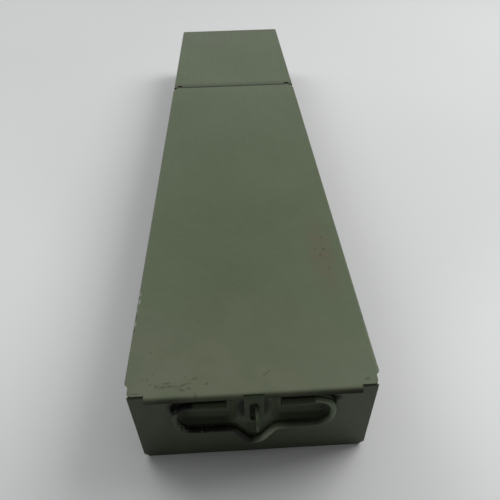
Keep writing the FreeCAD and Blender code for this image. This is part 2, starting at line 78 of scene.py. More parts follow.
def add(tree, kind, inputs=None, **settings):
    """Adds a node. Settings are its properties; inputs are values or sockets, by name or number."""
    made = tree.nodes.new(kind)
    for name, value in settings.items():
        setattr(made, name, value)
    for key, value in (inputs or {}).items():
        if isinstance(value, bpy.types.NodeSocket):
            tree.links.new(value, made.inputs[key])
        else:
            made.inputs[key].default_value = value
    return made


print("white is", colour("#ffffff"))

# %% [markdown]
# The photograph looks down on the front end from about arm's length, with a slightly wide lens and a
# small tilt of the hand. A camera could be nudged by eye until it fits, but the tin's straight edges give
# its place, the point on the floor that it looks at and the tilt much more closely, so these are written
# as numbers. The picture is square, so the sensor's width gives the field of view.

# %% Camera
CAMERA_PLACE = Vector((-0.0051, -0.3956, 0.2538))
CAMERA_AIM = Vector((0.0061, -0.1024, 0.0))
CAMERA_TILT = math.radians(-1.25)
LENS_MM = 34.57
SENSOR_MM = 36.0

lens = bpy.data.cameras.new("camera")
lens.lens = LENS_MM
lens.sensor_width = SENSOR_MM
camera = bpy.data.objects.new("camera", lens)
camera.location = CAMERA_PLACE
camera.rotation_mode = "QUATERNION"
aim = (CAMERA_AIM - CAMERA_PLACE).to_track_quat("-Z", "Y")
camera.rotation_quaternion = aim @ Quaternion((0, 0, 1), CAMERA_TILT)
scene.collection.objects.link(camera)
scene.camera = camera
print("camera is", round((CAMERA_AIM - CAMERA_PLACE).length, 3), "m from what it looks at")

# %% [markdown]
# The tin stands on a pale table of laminate, pressed smooth and matt. A table with edges and legs could be
# built, but only its top shows, so one large square is enough. A single white would look like paper, so its
# tone drifts very slightly over the width of a hand or two.

# %% Floor
FLOOR_HALF = 4.0
CLOUD_MM = 260


def floor_laminate():
    """Pale pressed laminate: to the eye almost even, with a faint cloudiness and a dull shine."""
    material = bpy.data.materials.new("pale_laminate")
    material.use_nodes = True
    tree = material.node_tree
    shader = tree.nodes["Principled BSDF"]
    place = add(tree, "ShaderNodeTexCoord").outputs["Object"]
    cloud = add(tree, "ShaderNodeTexNoise", {"Vector": place, "Scale": per_metre(CLOUD_MM), "Detail": 1.0})
    tone = add(
        tree, "ShaderNodeMix",
        {0: cloud.outputs[0], 6: colour("#f7f7f6"), 7: colour("#fcfcfb")}, data_type="RGBA")
    tree.links.new(tone.outputs[2], shader.inputs["Base Color"])
    shader.inputs["Roughness"].default_value = 0.35
    return material


floor_mesh = bpy.data.meshes.new("floor")
corners = [(-FLOOR_HALF, -FLOOR_HALF, 0), (FLOOR_HALF, -FLOOR_HALF, 0),
           (FLOOR_HALF, FLOOR_HALF, 0), (-FLOOR_HALF, FLOOR_HALF, 0)]
floor_mesh.from_pydata(corners, [], [(0, 1, 2, 3)])
floor = bpy.data.objects.new("floor", floor_mesh)
floor.data.materials.append(floor_laminate())
scene.collection.objects.link(floor)
print("floor is", 2 * FLOOR_HALF, "m square")

# %% [markdown]
# In the photograph the lid is evenly lit, the front end is in shade, and a wide soft shadow falls towards
# the camera. Bare lamps would cut hard shadows, so two soft boxes stand high on each side, the right one
# stronger, and both behind the front end, so that none of their light falls on it directly.

# %% Soft boxes
BOX_SIDE = 0.9
RIGHT_PLACE = Vector((1.0, 0.35, 1.1))
RIGHT_WATTS = 9.0
LEFT_PLACE = Vector((-1.0, 0.9, 1.2))
LEFT_WATTS = 5.0


def soft_box(name, place, watts):
    """A square soft box that faces the origin, under the middle of the tin."""
    lamp = bpy.data.lights.new(name, "AREA")
    lamp.shape = "RECTANGLE"
    lamp.size = BOX_SIDE
    lamp.size_y = BOX_SIDE
    lamp.energy = watts
    holder = bpy.data.objects.new(name, lamp)
    holder.location = place
    holder.rotation_mode = "QUATERNION"
    holder.rotation_quaternion = (-place).to_track_quat("-Z", "Y")
    scene.collection.objects.link(holder)


soft_box("right_box", RIGHT_PLACE, RIGHT_WATTS)
soft_box("left_box", LEFT_PLACE, LEFT_WATTS)
print("soft boxes of", RIGHT_WATTS, "W at the right and", LEFT_WATTS, "W at the left")

# %% [markdown]
# The room does the rest. More lamps could stand in for it, but a sky is smoother: bright above and behind,
# nearly black in front, with a soft change between. The camera itself sees a plain pale backdrop there. The
# standard view transform keeps colours as they are, which makes them easy to compare with a photograph.

# %% Sky
SKY_WAY = (0.08, 0.75, 0.65)
SKY_FULL = 0.75
SKY_FRONT = 0.04
SKY_BACK = 0.55

world = bpy.data.worlds.new("studio")
world.use_nodes = True
scene.world = world
sky = world.node_tree
sky.nodes.clear()
direction = add(sky, "ShaderNodeTexCoord").outputs["Generated"]
way = add(sky, "ShaderNodeVectorMath", {0: direction, 1: SKY_WAY}, operation="DOT_PRODUCT")
glow = add(
    sky, "ShaderNodeMapRange",
    {"Value": way.outputs["Value"], 1: 0.0, 2: SKY_FULL, 3: SKY_FRONT, 4: SKY_BACK},
    interpolation_type="SMOOTHSTEP")
dim = add(sky, "ShaderNodeBackground", {"Color": colour("#f4f6f8"), "Strength": glow.outputs[0]})
pale = add(sky, "ShaderNodeBackground", {"Color": colour("#e2e2e1"), "Strength": 1.0})
seen = add(sky, "ShaderNodeLightPath").outputs["Is Camera Ray"]
either = add(sky, "ShaderNodeMixShader", {0: seen, 1: dim.outputs[0], 2: pale.outputs[0]})
add(sky, "ShaderNodeOutputWorld", {"Surface": either.outputs[0]})
scene.view_settings.view_transform = "Standard"
print("sky from", SKY_FRONT, "in front to", SKY_BACK, "behind")

# %% [markdown]
# The tin is painted with stoved enamel: a thin satin skin, sprayed on sheet steel and baked hard. One
# colour and one roughness would look like plastic, and a picture of paint would blur up close. So the skin
# is built from noises at their real sizes: an orange-peel ripple a millimetre and a half wide, a sheet that
# is never quite flat under it, a green that drifts from place to place, and hairlines along the length from
# years of sliding in and out of a vault.

# %% Enamel
PEEL_MM = 1.5
PEEL_RISE = 0.03 * MM
DENT_MM = 48
DENT_RISE = 0.5 * MM
BUMP = 0.5
DRIFT_MM = 70
MOTTLE_MM = 5
MOTTLE_SHARE = 0.4
# A noise stays near 0.5. A pair like this gives the values where a change starts and where it is complete.
TONE_LOW, TONE_HIGH = 0.35, 0.65
# Real hairlines are much narrower. They are drawn as coarse as they need to be to show.
HAIRLINE_MM = (0.45, 70, 0.45)
HAIRLINE_LOW, HAIRLINE_HIGH = 0.6, 0.75
HAIRLINE_DULL = 0.16


def aged_skin(name, shade, light, roughness, gloss):
    """A satin skin on sheet or wire: two close tones, lengthwise hairlines, a ripple and shallow dents."""
    material = bpy.data.materials.new(name)
    material.use_nodes = True
    tree = material.node_tree
    shader = tree.nodes["Principled BSDF"]
    place = add(tree, "ShaderNodeTexCoord").outputs["Object"]
    drift = add(tree, "ShaderNodeTexNoise", {"Vector": place, "Scale": per_metre(DRIFT_MM), "Detail": 2.0})
    mottle = add(tree, "ShaderNodeTexNoise", {"Vector": place, "Scale": per_metre(MOTTLE_MM), "Detail": 4.0})
    uneven = add(tree, "ShaderNodeMix", {0: MOTTLE_SHARE, 2: drift.outputs[0], 3: mottle.outputs[0]})
    spread = add(tree, "ShaderNodeMapRange", {"Value": uneven.outputs[0], 1: TONE_LOW, 2: TONE_HIGH})
    tone = add(
        tree, "ShaderNodeMix",
        {0: spread.outputs[0], 6: colour(shade), 7: colour(light)}, data_type="RGBA")
    tree.links.new(tone.outputs[2], shader.inputs["Base Color"])
    shader.inputs["Specular IOR Level"].default_value = gloss

    grain = [per_metre(size) for size in HAIRLINE_MM]
    along = add(tree, "ShaderNodeMapping", {"Vector": place, "Scale": grain})
    hairs = add(tree, "ShaderNodeTexNoise", {"Vector": along.outputs[0], "Scale": 1.0, "Detail": 1.0})
    sheen = add(
        tree, "ShaderNodeMapRange",
        {"Value": hairs.outputs[0], 1: HAIRLINE_LOW, 2: HAIRLINE_HIGH,
         3: roughness, 4: roughness + HAIRLINE_DULL})
    tree.links.new(sheen.outputs[0], shader.inputs["Roughness"])

    peel = add(tree, "ShaderNodeTexNoise", {"Vector": place, "Scale": per_metre(PEEL_MM), "Detail": 1.0})
    dents = add(tree, "ShaderNodeTexNoise", {"Vector": place, "Scale": per_metre(DENT_MM), "Detail": 0.0})
    wavy = add(tree, "ShaderNodeBump", {"Height": dents.outputs[0], "Distance": DENT_RISE, "Strength": BUMP})
    ripple = add(
        tree, "ShaderNodeBump",
        {"Height": peel.outputs[0], "Distance": PEEL_RISE, "Strength": BUMP, "Normal": wavy.outputs[0]})
    tree.links.new(ripple.outputs[0], shader.inputs["Normal"])
    return material


# Lid and cover: the palest green, wiped and handled for years, with a soft even glow.
lid_enamel = aged_skin("faded_sage_enamel", "#5b6749", "#636f52", 0.42, 0.42)
# Tray and end walls: the same green made darker as painted shade for faces that the light misses, and glows
# less.
body_enamel = aged_skin("sage_enamel", "#4c5640", "#545e48", 0.42, 0.25)
# Lug, rivets and hasp: darker again as painted shade, and the flattest of the three.
hardware_enamel = aged_skin("sage_enamel_hardware", "#444f39", "#4b5640", 0.42, 0.15)
print("three enamels, with a ripple of", PEEL_MM, "mm")

# %% [markdown]
# Wear is laid over the enamel in layers, as it happens on the tin: where a mask is 1, another finish shows.
# Whole shaders could be mixed, but one shader with mixed inputs is lighter to render and to bake. So one
# function puts a mix in front of the shader's colour, roughness and metal sockets. Wear can then be added
# in any order, and each layer stays easy to read.

# %% Layers of wear
def lay(material, mask, hex_value, roughness, metallic=0.0):
    """Lays another finish over a material where the mask is 1."""
    tree = material.node_tree
    shader = tree.nodes["Principled BSDF"]
    tone, rough, metal = [shader.inputs[name] for name in ("Base Color", "Roughness", "Metallic")]
    over = add(
        tree, "ShaderNodeMix",
        {0: mask, 6: tone.links[0].from_socket, 7: colour(hex_value)}, data_type="RGBA")
    tree.links.new(over.outputs[2], tone)
    over = add(tree, "ShaderNodeMix", {0: mask, 2: rough.links[0].from_socket, 3: roughness})
    tree.links.new(over.outputs[0], rough)
    if metallic or metal.is_linked:
        under = metal.links[0].from_socket if metal.is_linked else metal.default_value
        over = add(tree, "ShaderNodeMix", {0: mask, 2: under, 3: metallic})
        tree.links.new(over.outputs[0], metal)


print("layers go over", lid_enamel.name + ",", body_enamel.name, "and", hardware_enamel.name)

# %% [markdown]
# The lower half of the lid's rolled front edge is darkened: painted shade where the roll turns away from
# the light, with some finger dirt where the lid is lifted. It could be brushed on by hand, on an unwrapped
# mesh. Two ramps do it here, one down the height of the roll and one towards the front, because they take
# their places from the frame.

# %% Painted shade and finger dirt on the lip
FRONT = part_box("front_wall")[0][1]
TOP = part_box("lid")[1][2]
LIP_DARK_START = 0.15 * MM
LIP_DARK_FULL = -0.7 * MM
LIP_FADE = 0.3 * MM

tree = lid_enamel.node_tree
axes = add(tree, "ShaderNodeSeparateXYZ", {0: add(tree, "ShaderNodeTexCoord").outputs["Object"]}).outputs
low_lip = add(tree, "ShaderNodeMapRange", {"Value": axes["Z"], 1: TOP + LIP_DARK_START, 2: TOP + LIP_DARK_FULL})
ahead = add(tree, "ShaderNodeMapRange", {"Value": axes["Y"], 1: FRONT + LIP_FADE, 2: FRONT - LIP_FADE})
lip_shade_and_dirt = add(tree, "ShaderNodeMath", {0: low_lip.outputs[0], 1: ahead.outputs[0]}, operation="MULTIPLY")
# Painted shade with some finger dirt: the lower half of the lip goes dark green-black.
lay(lid_enamel, lip_shade_and_dirt.outputs[0], "#1c2115", 0.9)
print("lip dirty from", round((TOP + LIP_DARK_FULL) / MM, 2), "mm down")

# %% [markdown]
# Behind the hinge, the first centimetre of the fixed cover darkens towards the hinge line: painted shade
# where the cover's front edge curls down. A soft brush mark would do. A ramp along the length is simpler,
# and a hard cut at the cover's front edge keeps the shade off the lid, which has the same enamel.

# %% Painted shade behind the hinge
COVER_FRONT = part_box("rear_cover")[0][1]
HINGE_SHADE_END = 11 * MM
HINGE_SHADE_FULL = 1 * MM
HINGE_SHADE_MOST = 0.6
COVER_LAP = 0.3 * MM

near = add(
    tree, "ShaderNodeMapRange",
    {"Value": axes["Y"], 1: COVER_FRONT + HINGE_SHADE_END, 2: COVER_FRONT + HINGE_SHADE_FULL, 4: HINGE_SHADE_MOST})
behind = add(tree, "ShaderNodeMath", {0: axes["Y"], 1: COVER_FRONT - COVER_LAP}, operation="GREATER_THAN")
hinge_shade = add(tree, "ShaderNodeMath", {0: near.outputs[0], 1: behind.outputs[0]}, operation="MULTIPLY")
# Painted shade: darker green towards the hinge line.
lay(lid_enamel, hinge_shade.outputs[0], "#333b2a", 0.5)
print("dust over", round(HINGE_SHADE_END / MM), "mm behind the hinge")

# %% [markdown]
# Paint is thinnest on a sharp edge, so it goes there first: to a paler green, and in spots to bare steel.
# Edges could be picked by hand or by a mesh's pointiness, which needs many more faces than folded sheet
# has. The Bevel node compares a surface with a rounded copy of itself, which works on any mesh, and a noise
# breaks the line up.

# %% Worn edges
# Between the two normals: at the first the surface counts as flat, at the second as a sharp edge.
FLAT_COSINE = 0.97
SHARP_COSINE = 0.8
# Bare steel shows in finer spots than pale paint does, and only where the noise is higher.
BARE_FINER = 3
BARE_LOW_RISE = 0.12
BARE_HIGH_RISE = 0.1


def broken(tree, mask, size_mm, low, high):
    """Breaks a mask up with noise of the given grain: below low nothing is left, above high all of it."""
    place = add(tree, "ShaderNodeTexCoord").outputs["Object"]
    noise = add(tree, "ShaderNodeTexNoise", {"Vector": place, "Scale": per_metre(size_mm), "Detail": 3.0})
    patch = add(tree, "ShaderNodeMapRange", {"Value": noise.outputs[0], 1: low, 2: high})
    return add(tree, "ShaderNodeMath", {0: mask, 1: patch.outputs[0]}, operation="MULTIPLY").outputs[0]


def rim(tree, width_mm):
    """1 on sharp edges: where the surface, rounded over by this width, would turn away from itself."""
    rounded = add(tree, "ShaderNodeBevel", {"Radius": width_mm * MM}, samples=6)
    plain = add(tree, "ShaderNodeNewGeometry").outputs["Normal"]
    agree = add(tree, "ShaderNodeVectorMath", {0: rounded.outputs[0], 1: plain}, operation="DOT_PRODUCT")
    sharp = {"Value": agree.outputs["Value"], 1: FLAT_COSINE, 2: SHARP_COSINE}
    return add(tree, "ShaderNodeMapRange", sharp).outputs[0]


# Each row: material, width of the worn edge and grain of its breaks in mm, and the noise where wear starts
# and where it is complete.
EDGE_WEAR = (
    (lid_enamel, 0.45, 7, 0.5, 0.62),
    (body_enamel, 0.4, 9, 0.54, 0.66),
    (hardware_enamel, 0.5, 4, 0.42, 0.56))
for material, width_mm, grain_mm, low, high in EDGE_WEAR:
    tree = material.node_tree
    edge = rim(tree, width_mm)
    thin = broken(tree, edge, grain_mm, low, high)
    lay(material, thin, "#7c8272", 0.5)
    bare = broken(tree, edge, grain_mm / BARE_FINER, low + BARE_LOW_RISE, high + BARE_HIGH_RISE)
    lay(material, bare, "#8d8d86", 0.38, 0.9)
print("edges worn on", len(EDGE_WEAR), "materials")

# %% [markdown]
# The lid has its own history of small marks. They could be painted on a picture, but a list is easier to
# change and never blurs: every mark is an ellipse in the lid's own coordinates, in millimetres from the
# front face. A fine noise shakes the outlines, so that they don't look drawn.

# %% Masks for marks
MARK_DEPTH_MM = 1.6
SHAKE = 1.0 * MM
SHAKE_GRAIN_MM = 1.1


def marks(tree, places, soft, most):
    """Rises to most inside each ellipse, and fades over the soft share of its size.

    A place is x, y behind the front face, half length and half width in mm, and a turn in degrees."""
    place = add(tree, "ShaderNodeTexCoord").outputs["Object"]
    shake = add(
        tree, "ShaderNodeTexNoise",
        {"Vector": place, "Scale": per_metre(SHAKE_GRAIN_MM), "Detail": 2.0})
    shift = add(
        tree, "ShaderNodeVectorMath",
        {0: shake.outputs["Color"], 1: (0.5, 0.5, 0.5)}, operation="SUBTRACT")
    shaken = add(
        tree, "ShaderNodeVectorMath",
        {0: shift.outputs[0], 1: (SHAKE, SHAKE, 0), 2: place}, operation="MULTIPLY_ADD")
    found = 0.0
    for x, y, half_length, half_width, turn in places:
        centred = add(
            tree, "ShaderNodeMapping",
            {"Vector": shaken.outputs[0], "Location": (x * MM, FRONT + y * MM, TOP),
             "Rotation": (0, 0, math.radians(turn)),
             "Scale": (half_length * MM, half_width * MM, MARK_DEPTH_MM * MM)},
            vector_type="TEXTURE")
        away = add(tree, "ShaderNodeVectorMath", {0: centred.outputs[0]}, operation="LENGTH")
        inside = add(
            tree, "ShaderNodeMapRange",
            {"Value": away.outputs["Value"], 1: 1.0 + soft, 2: 1.0 - soft, 3: 0.0, 4: most})
        found = add(tree, "ShaderNodeMath", {0: found, 1: inside.outputs[0]}, operation="MAXIMUM").outputs[0]
    return found


print("marks are shaken by up to", SHAKE / 2 / MM, "mm")

# %% [markdown]
# Two broad patches come first. Hands have paled the lid's front end, mostly at the left, and a brown stain
# lies further back at the right. Each is one large ellipse, broken up by a coarse noise: a plain gradient
# would look sprayed on.

# %% Pale front and stain
PALE_FRONT = ((-26, 4, 58, 36, 0),)
PALE_GRAIN_MM = 16
STAIN = ((48, 95, 5.5, 25, 0),)
STAIN_GRAIN_MM = 9

tree = lid_enamel.node_tree
handled = marks(tree, PALE_FRONT, 0.8, 1.0)
lay(lid_enamel, broken(tree, handled, PALE_GRAIN_MM, 0.15, 0.6), "#70745c", 0.48)
stained = marks(tree, STAIN, 0.8, 0.9)
lay(lid_enamel, broken(tree, stained, STAIN_GRAIN_MM, 0.25, 0.6), "#6b6248", 0.5)
print("pale front and stain, broken at", PALE_GRAIN_MM, "and", STAIN_GRAIN_MM, "mm")

# %% [markdown]
# Then the small marks: scuffs, mostly at the front left, nicks on the lip, a black spot of painted shade at
# the right front corner, specks, pits in the stain, and pale chips and dark nicks on the long edges. A
# scatter at random would give the right number of them.
# Placed one by one, they sit where the photograph shows them.

# %% Scuffs, specks and chips
SCUFFS = (
    (-42.9, 4.4, 1.4, 0.6, -1), (-39.5, 4.7, 1.4, 0.55, 2), (-37.0, 4.7, 0.8, 0.4, 3),
    (-41.2, 6.4, 1.6, 0.4, 1), (-33.1, 5.1, 3.0, 0.35, 18), (-46.0, 4.7, 0.6, 0.6, 0),
    (-33.7, 2.4, 1.2, 0.45, -25), (-30.5, 3.2, 0.9, 0.45, 0), (-27.9, 8.4, 0.9, 0.45, 0),
    (-22.0, 5.2, 0.7, 0.55, 20), (-55.5, 1.6, 2.7, 0.3, -1), (54.6, 3.2, 1.2, 0.6, 15),
    (6.8, 9.3, 2.1, 0.3, 36))
# The last row is a black spot of painted shade at the right front corner, not a nick.
LIP_NICKS_AND_CORNER_SHADE = ((-27.7, -0.9, 0.2, 1.6, 0), (-26.6, -0.9, 0.15, 1.4, 0), (60.9, 2.6, 0.6, 0.9, 0))
SPECKS = (
    (-32.7, 10.0, 0.4, 0.4, 0), (-50.8, 9.2, 0.6, 0.6, 0), (-48.1, 12.0, 0.5, 0.5, 0),
    (-48.9, 6.1, 0.5, 0.5, 0), (-53.4, 9.4, 0.5, 0.5, 0), (-5.1, 10.8, 0.4, 0.4, 0),
    (-5.3, 27.0, 0.4, 0.4, 0), (-7.3, 71.4, 0.6, 0.6, 0), (-3.9, 73.8, 0.5, 0.4, 0),
    (-26.9, 43.7, 0.4, 0.5, 0), (-55.1, 41.2, 0.4, 0.5, 0), (-50.3, 25.1, 0.5, 0.5, 0))
PITS = (
    (49.6, 98.1, 0.7, 0.9, 0), (46.6, 92.6, 0.5, 0.6, 0), (49.7, 90.6, 0.5, 0.6, 0),
    (49.5, 110.3, 0.5, 0.6, 0), (44.3, 99.4, 0.5, 0.6, 0), (49.7, 80.9, 0.5, 0.6, 0))
EDGE_CHIPS = (
    (-60.8, 66.4, 0.6, 1.6, 0), (-60.6, 60.9, 0.7, 2.2, 0),
    (-60.9, 54.0, 0.4, 1.0, 0), (-60.8, 44.3, 0.6, 1.4, 0))
EDGE_NICKS = (
    (-61.0, 63.6, 0.5, 0.9, 0), (-60.9, 49.1, 0.5, 1.2, 0),
    (-61.1, 39.7, 0.6, 1.8, 0), (60.9, 41.8, 0.4, 0.9, 0))
# Each row: places, share of the size that fades, strength, colour, roughness.
LID_MARKS = (
    (SCUFFS, 0.85, 0.75, "#40432d", 0.5), (LIP_NICKS_AND_CORNER_SHADE, 0.6, 0.7, "#1d2016", 0.6),
    (SPECKS, 0.7, 0.6, "#4a4e38", 0.5), (PITS, 0.7, 0.75, "#3f3d2c", 0.6),
    (EDGE_CHIPS, 0.3, 0.9, "#9a9b93", 0.45), (EDGE_NICKS, 0.4, 0.8, "#34382a", 0.55))
for places, soft, most, tone, roughness in LID_MARKS:
    lay(lid_enamel, marks(tree, places, soft, most), tone, roughness)
print(sum(len(row[0]) for row in LID_MARKS), "marks on the lid")

# %% [markdown]
# Under the lid's lip, round the clips, beside the hasp and behind its slot, the enamel is painted nearly
# black as shade, more at the left. The foot of the hasp is painted darker as shade too, and the left of the
# wall has a faint painted shade. Ambient occlusion could find such corners by itself, but it would treat
# them all alike. These are soft ellipsoids, given on the front end.

# %% Painted shade in the pockets
SHADE_INSET = 2 * MM
# The painted shade fades between these two shares of its size.
SHADE_OUTER, SHADE_INNER = 1.3, 0.8
# The half depth of painted shade on the wall, and of painted shade that stays behind the hasp's leaf.
ON_WALL_MM = 6.0
BEHIND_LEAF_MM = 3.7
# Each row: x and height of the middle, half width, half height and half depth in mm, and the strength.
PAINTED_SHADE = {
    body_enamel: (
        (-35.0, 45.5, 6.2, 6.0, ON_WALL_MM, 1.0), (37.0, 47.5, 5.5, 3.0, ON_WALL_MM, 0.9),
        (-12.0, 47.5, 0.9, 2.4, ON_WALL_MM, 0.9), (12.2, 47.5, 0.9, 2.4, ON_WALL_MM, 0.9),
        (-3.5, 43.0, 5.0, 8.5, ON_WALL_MM, 0.75), (3.5, 43.0, 4.6, 8.0, ON_WALL_MM, 0.6),
        (-54.0, 30.0, 16.0, 30.0, ON_WALL_MM, 0.16)),
    hardware_enamel: (
        (0.0, 28.0, 8.0, 8.0, ON_WALL_MM, 0.35), (-0.5, 43.0, 8.0, 10.0, BEHIND_LEAF_MM, 0.85)),
}
for material, spots in PAINTED_SHADE.items():
    tree = material.node_tree
    place = add(tree, "ShaderNodeTexCoord").outputs["Object"]
    for x, z, half_width, half_height, half_depth, most in spots:
        centred = add(
            tree, "ShaderNodeMapping",
            {"Vector": place, "Location": (x * MM, FRONT + SHADE_INSET, z * MM),
             "Scale": (half_width * MM, half_depth * MM, half_height * MM)},
            vector_type="TEXTURE")
        away = add(tree, "ShaderNodeVectorMath", {0: centred.outputs[0]}, operation="LENGTH")
        inside = add(
            tree, "ShaderNodeMapRange",
            {"Value": away.outputs["Value"], 1: SHADE_OUTER, 2: SHADE_INNER, 3: 0.0, 4: most})
        # Painted shade, nearly black.
        lay(material, inside.outputs[0], "#0e110a", 0.75)
    print(material.name, "has grime in", len(spots), "spots")

# %% [markdown]
# Two more finishes dress the small parts. The clips that hold the handle are never wiped, and the hinge pin
# and the wire in the lid's edge were never painted. New node trees could be built for them. The same aged
# skin serves, with other numbers, because grease and dull oxide are uneven in the same way. Each CAD node
# then gets its material, and its mesh stays as it is.

# %% Clips and bare steel
# Clips: green under a brown film of old grease, so they look dull and dark.
clip_enamel = aged_skin("greasy_sage_enamel", "#363c29", "#404632", 0.5, 0.2)
# Hinge pin and edge wire: drawn steel, with a grey-brown sheen instead of a mirror's shine.
bare_steel = aged_skin("dull_drawn_steel", "#77746c", "#85827a", 0.42, 0.5)
bare_steel.node_tree.nodes["Principled BSDF"].inputs["Metallic"].default_value = 1.0

FINISHES = {
    lid_enamel: ("lid", "rear_cover"),
    body_enamel: ("body_tray", "front_wall", "rear_wall"),
    hardware_enamel: ("padlock_lug", "lug_rivets", "hasp_leaf"),
    clip_enamel: ("handle_clip_left", "handle_clip_right"),
    bare_steel: ("hinge_pin", "lid_edge_wire"),
}
for material, names in FINISHES.items():
    for name in names:
        nodes[name].data.materials.clear()
        nodes[name].data.materials.append(material)
    print(material.name, "on", ", ".join(names))

# %% [markdown]
# The bail is one length of wire, bent round a former. It could be modelled face by face, or kept as the CAD
# node, but its shape is a rule: a route of corners, each with a bend radius. So the route is written down
# for the left half, from the wire's end in the clip to the dip in the middle, and mirrored.

# %% Route of the bail
bail_low, bail_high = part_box("bail_handle")
BAIL_Y = (bail_low[1] + bail_high[1]) / 2
WIRE = 3.2 * MM
AXIS_MM = 50.1
BAR_MM = AXIS_MM - 22.2
END_MM = 15.0
GRIP_HALF_MM = 38.8
GRIP_BEND_MM = 9.6
DIP_HALF_MM = 11.0
DIP_DROP_MM = 17.4
DIP_BEND_MM = 5.0

half_route = (
    (-END_MM, AXIS_MM, 0.0), (-GRIP_HALF_MM, AXIS_MM, GRIP_BEND_MM),
    (-GRIP_HALF_MM, BAR_MM, GRIP_BEND_MM), (-DIP_HALF_MM, BAR_MM, DIP_BEND_MM))
dip = (0.0, BAR_MM - DIP_DROP_MM, DIP_BEND_MM)
other_half = tuple((-x, z, bend) for x, z, bend in reversed(half_route))
route = (*half_route, dip, *other_half)
steps = [(i, i + 1) for i in range(len(route) - 1)]

route_mesh = bpy.data.meshes.new("bail_route")
route_mesh.from_pydata([(x * MM, BAIL_Y, z * MM) for x, z, bend in route], steps, [])
bends = route_mesh.attributes.new("bend", "FLOAT", "POINT")
bends.data.foreach_set("value", [bend * MM for x, z, bend in route])
print("bail turns", len(route) - 2, "corners")

# %% [markdown]
# Geometry Nodes do the bending and the repeats of this tin. A loop in Python could place every vertex, but
# a tree names its sizes as inputs and shows each step of the shape. Two helpers serve both trees: one starts
# a tree with such inputs, and one runs a tree on a mesh and keeps the result as a plain mesh, because a
# finished piece should carry no live modifier.

# %% Trees and what grows from them
def sized_tree(name, inputs):
    """A Geometry Nodes tree with these inputs, each a name and a socket type, after the geometry."""
    tree = bpy.data.node_groups.new(name, "GeometryNodeTree")
    tree.interface.new_socket("Geometry", in_out="INPUT", socket_type="NodeSocketGeometry")
    for label, kind in inputs:
        tree.interface.new_socket(label, in_out="INPUT", socket_type=kind)
    tree.interface.new_socket("Geometry", in_out="OUTPUT", socket_type="NodeSocketGeometry")
    return tree


def grown(name, mesh, tree, values):
    """Runs a Geometry Nodes tree on a mesh and keeps the result as a plain mesh."""
    maker = bpy.data.objects.new(name + "_maker", mesh)
    scene.collection.objects.link(maker)
    modifier = maker.modifiers.new("nodes", "NODES")
    modifier.node_group = tree
    for item in tree.interface.items_tree:
        if item.in_out == "INPUT" and item.name in values:
            modifier[item.identifier] = values[item.name]
    ready = maker.evaluated_get(bpy.context.evaluated_depsgraph_get())
    result = bpy.data.meshes.new_from_object(ready)
    bpy.data.objects.remove(maker)
    piece = bpy.data.objects.new(name, result)
    scene.collection.objects.link(piece)
    return piece


bent = sized_tree(
    "bent_wire",
    (("Wire diameter", "NodeSocketFloat"), ("Steps", "NodeSocketInt"), ("Finish", "NodeSocketMaterial")))
print(bent.name, "takes", len(bent.interface.items_tree) - 1, "inputs")

# %% [markdown]
# The tree bends the wire as a maker would: the route becomes a curve, a fillet rounds each corner by its own
# "bend" attribute, and a circle is swept along it. A bevelled curve object would give the same shape. Here
# the distance along the wire is stored on the way, because a handle's wear belongs to the grip and not to a
# place in space.

# %% Wire bail
RING_SIDES = 28
BEND_STEPS = 14

given = add(bent, "NodeGroupInput").outputs
bend = add(bent, "GeometryNodeInputNamedAttribute", {"Name": "bend"}, data_type="FLOAT")
line = add(bent, "GeometryNodeMeshToCurve", {"Mesh": given["Geometry"]})
rounded = add(
    bent, "GeometryNodeFilletCurve",
    {"Curve": line.outputs[0], "Radius": bend.outputs["Attribute"], "Count": given["Steps"]}, mode="POLY")
length = add(bent, "GeometryNodeSplineParameter").outputs["Length"]
measured = add(
    bent, "GeometryNodeStoreNamedAttribute",
    {"Geometry": rounded.outputs[0], "Name": "along", "Value": length}, data_type="FLOAT", domain="POINT")
radius = add(bent, "ShaderNodeMath", {0: given["Wire diameter"], 1: 0.5}, operation="MULTIPLY")
ring = add(bent, "GeometryNodeCurvePrimitiveCircle", {"Resolution": RING_SIDES, "Radius": radius.outputs[0]})
swept = add(
    bent, "GeometryNodeCurveToMesh",
    {"Curve": measured.outputs[0], "Profile Curve": ring.outputs[0], "Fill Caps": True})
smooth = add(bent, "GeometryNodeSetShadeSmooth", {"Geometry": swept.outputs[0]})
real = add(bent, "GeometryNodeRealizeInstances", {"Geometry": smooth.outputs[0]})
dressed = add(bent, "GeometryNodeSetMaterial", {"Geometry": real.outputs[0], "Material": given["Finish"]})
add(bent, "NodeGroupOutput", {"Geometry": dressed.outputs[0]})

# Bail: the same green, but lighter, partly as a painted highlight, and rubbed smoother by hands, so that
# its bends catch a little light.
handle_enamel = aged_skin("worn_sage_enamel", "#626d54", "#6c775f", 0.32, 0.2)
bail = grown(
    "bail_wire", route_mesh, bent, {"Wire diameter": WIRE, "Steps": BEND_STEPS, "Finish": handle_enamel})
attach(bail, "bail")
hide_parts("bail_handle")
wire_length = max(value.value for value in bail.data.attributes["along"].data)
print("bail of", len(bail.data.polygons), "faces,", round(wire_length / MM), "mm of wire")

# %% [markdown]
# A handle wears where the fingers pull, but most of the tones on this wire are light and shade painted
# along it. The left half and the right bar are painted darker as shade, and the right arm of the dip paler
# as a painted highlight. On the left of the grip and by the left clip the wire is black: paint worn through
# to black oxide, partly painted shade beneath the lip and on the bar's lower side, with a ragged border and
# a few bright flecks. Ellipses in space, as on the lid, would cut across the wire. Each mask is a stretch
# measured along it instead, and would follow it through any bend.

